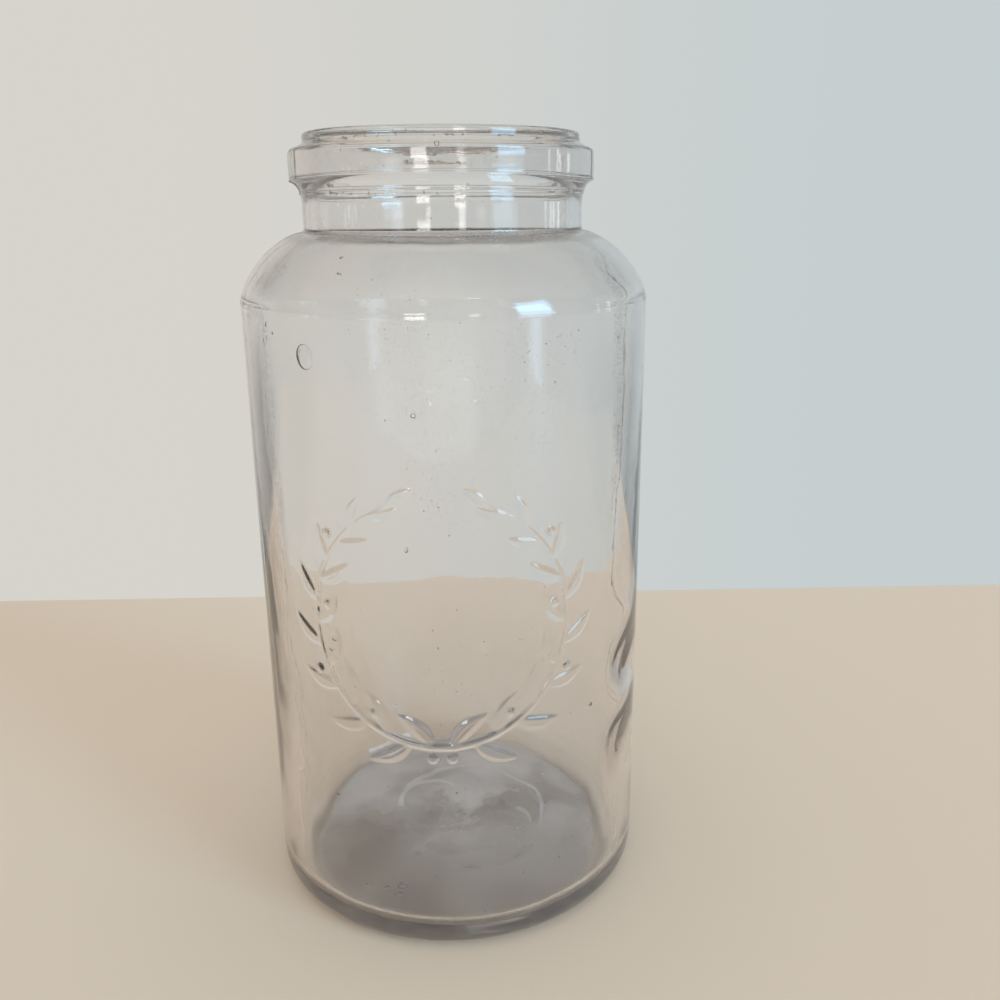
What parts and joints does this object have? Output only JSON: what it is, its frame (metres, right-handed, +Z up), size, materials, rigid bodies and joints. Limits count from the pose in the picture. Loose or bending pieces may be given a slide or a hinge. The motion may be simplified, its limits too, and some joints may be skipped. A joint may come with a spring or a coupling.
{
  "type": "canning jar",
  "caption": "Tall wide-mouth canning jar of clear glass with a rounded shoulder, a short neck, a thick bead and a flat sealing lip; open and empty.",
  "frame": {"origin": "on the jar's axis, on the surface that it stands on", "axes": "+Z up along the jar's axis, out of its mouth; -Y is the side with the raised ornament"},
  "size_m": [0.12, 0.12, 0.2318],
  "materials": {
    "clear_glass": "clear pressed glass with a faint grey-mauve cast, smooth and slightly wavy"
  },
  "bodies": {
    "root": {"glass_jar": "clear_glass"}
  },
  "joints": []
}
